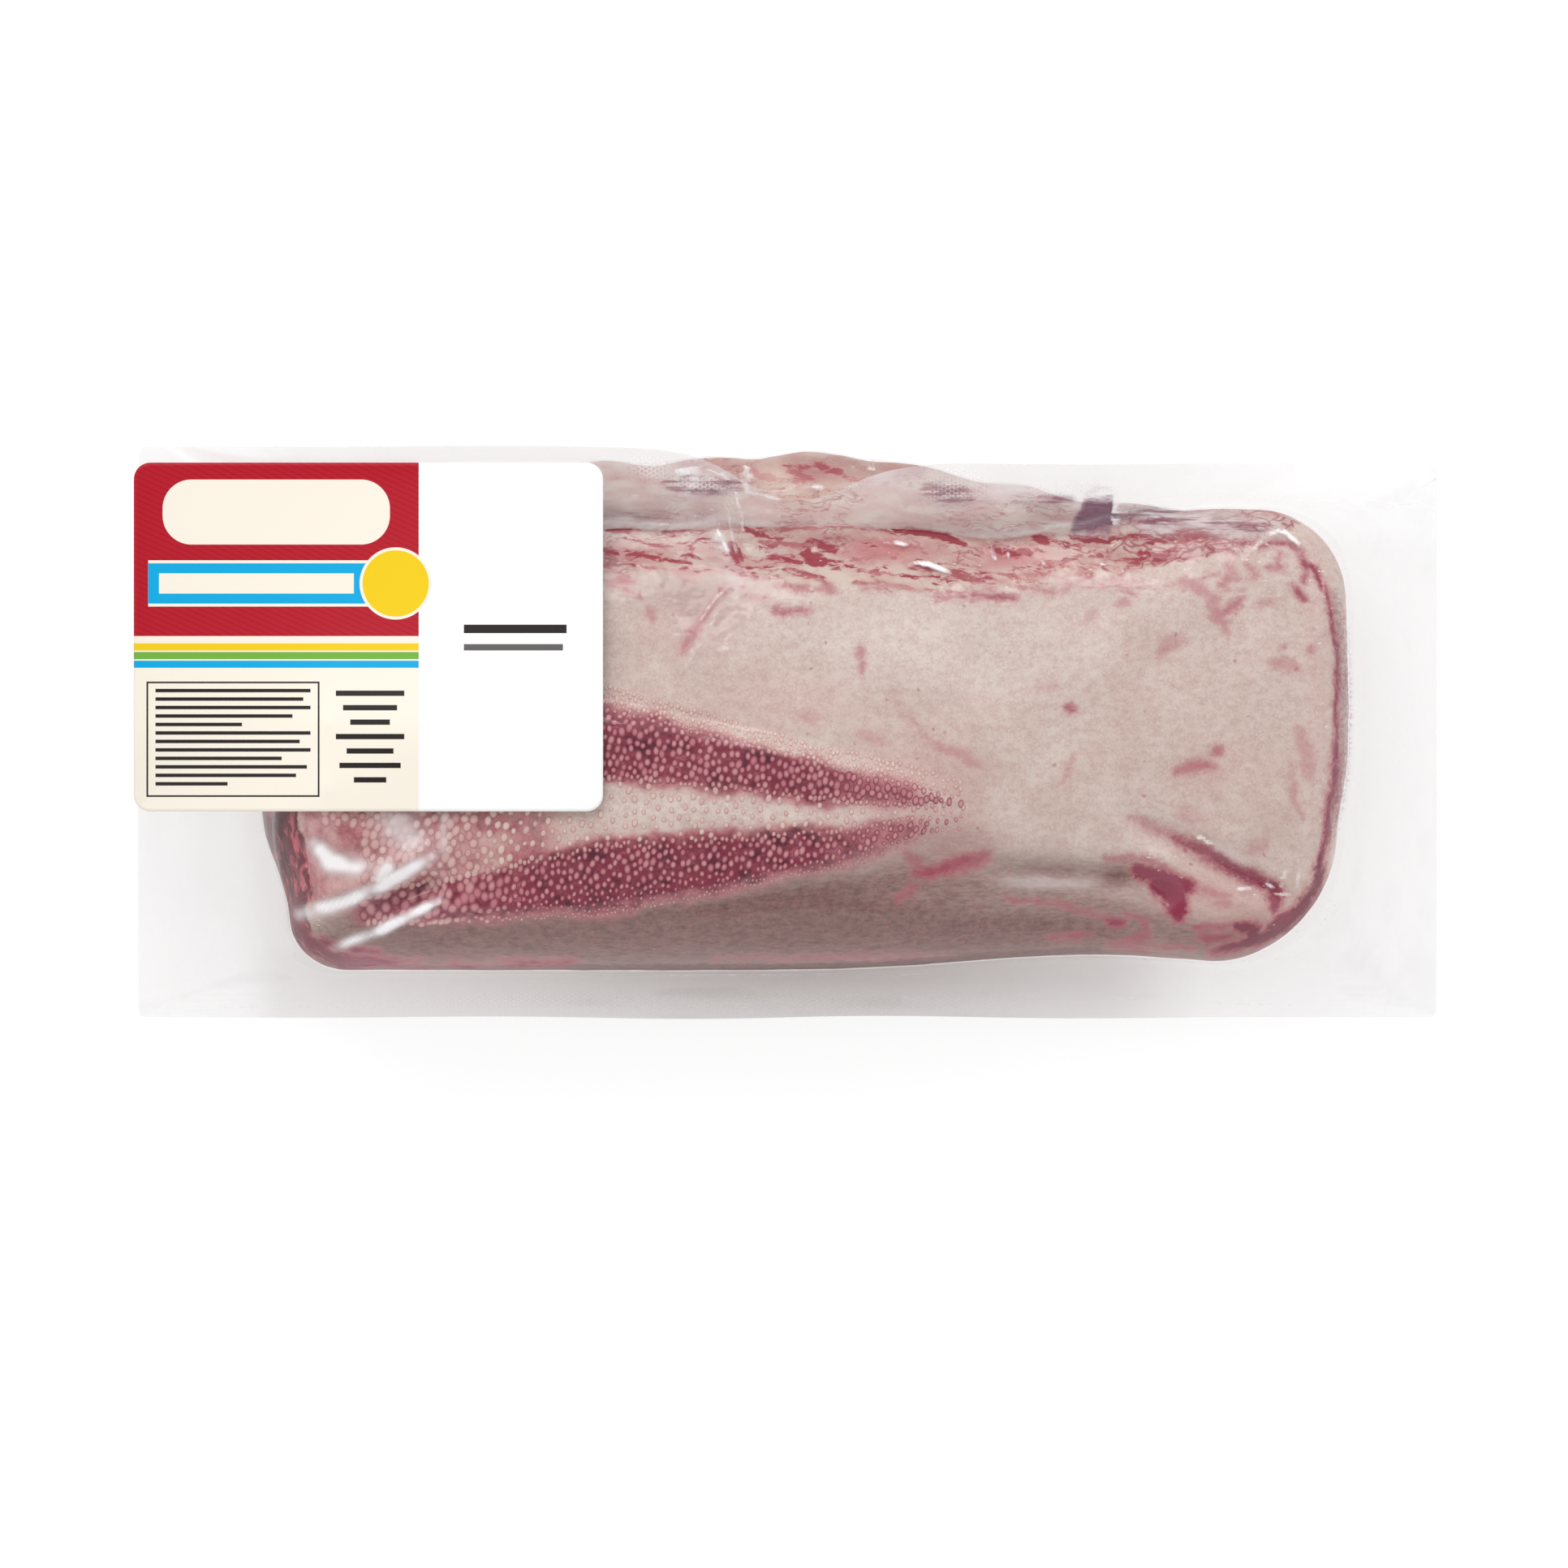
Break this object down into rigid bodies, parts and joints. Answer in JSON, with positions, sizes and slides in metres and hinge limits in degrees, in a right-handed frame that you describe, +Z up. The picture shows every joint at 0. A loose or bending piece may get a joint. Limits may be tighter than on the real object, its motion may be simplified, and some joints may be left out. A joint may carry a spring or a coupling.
{
  "type": "raw beef tongue",
  "caption": "Whole raw beef tongue, dark blunt papillae on its hump, vacuum-packed in a clear flat-edged film pouch with a printed label stuck over its root.",
  "frame": {"origin": "middle of the bounding box in plan, on the table that the pack rests on", "axes": "+X from the tongue's root to its tip, +Y from its smooth front side to its cut back flank, +Z up out of its papillae"},
  "size_m": [0.3612, 0.159, 0.0597],
  "materials": {
    "pouch": "clear glossy film drawn tight over raw pale pink and wine red meat",
    "label": "coated white paper with coloured print"
  },
  "bodies": {
    "root": {"pouch": "pouch", "label": "label"}
  },
  "joints": []
}
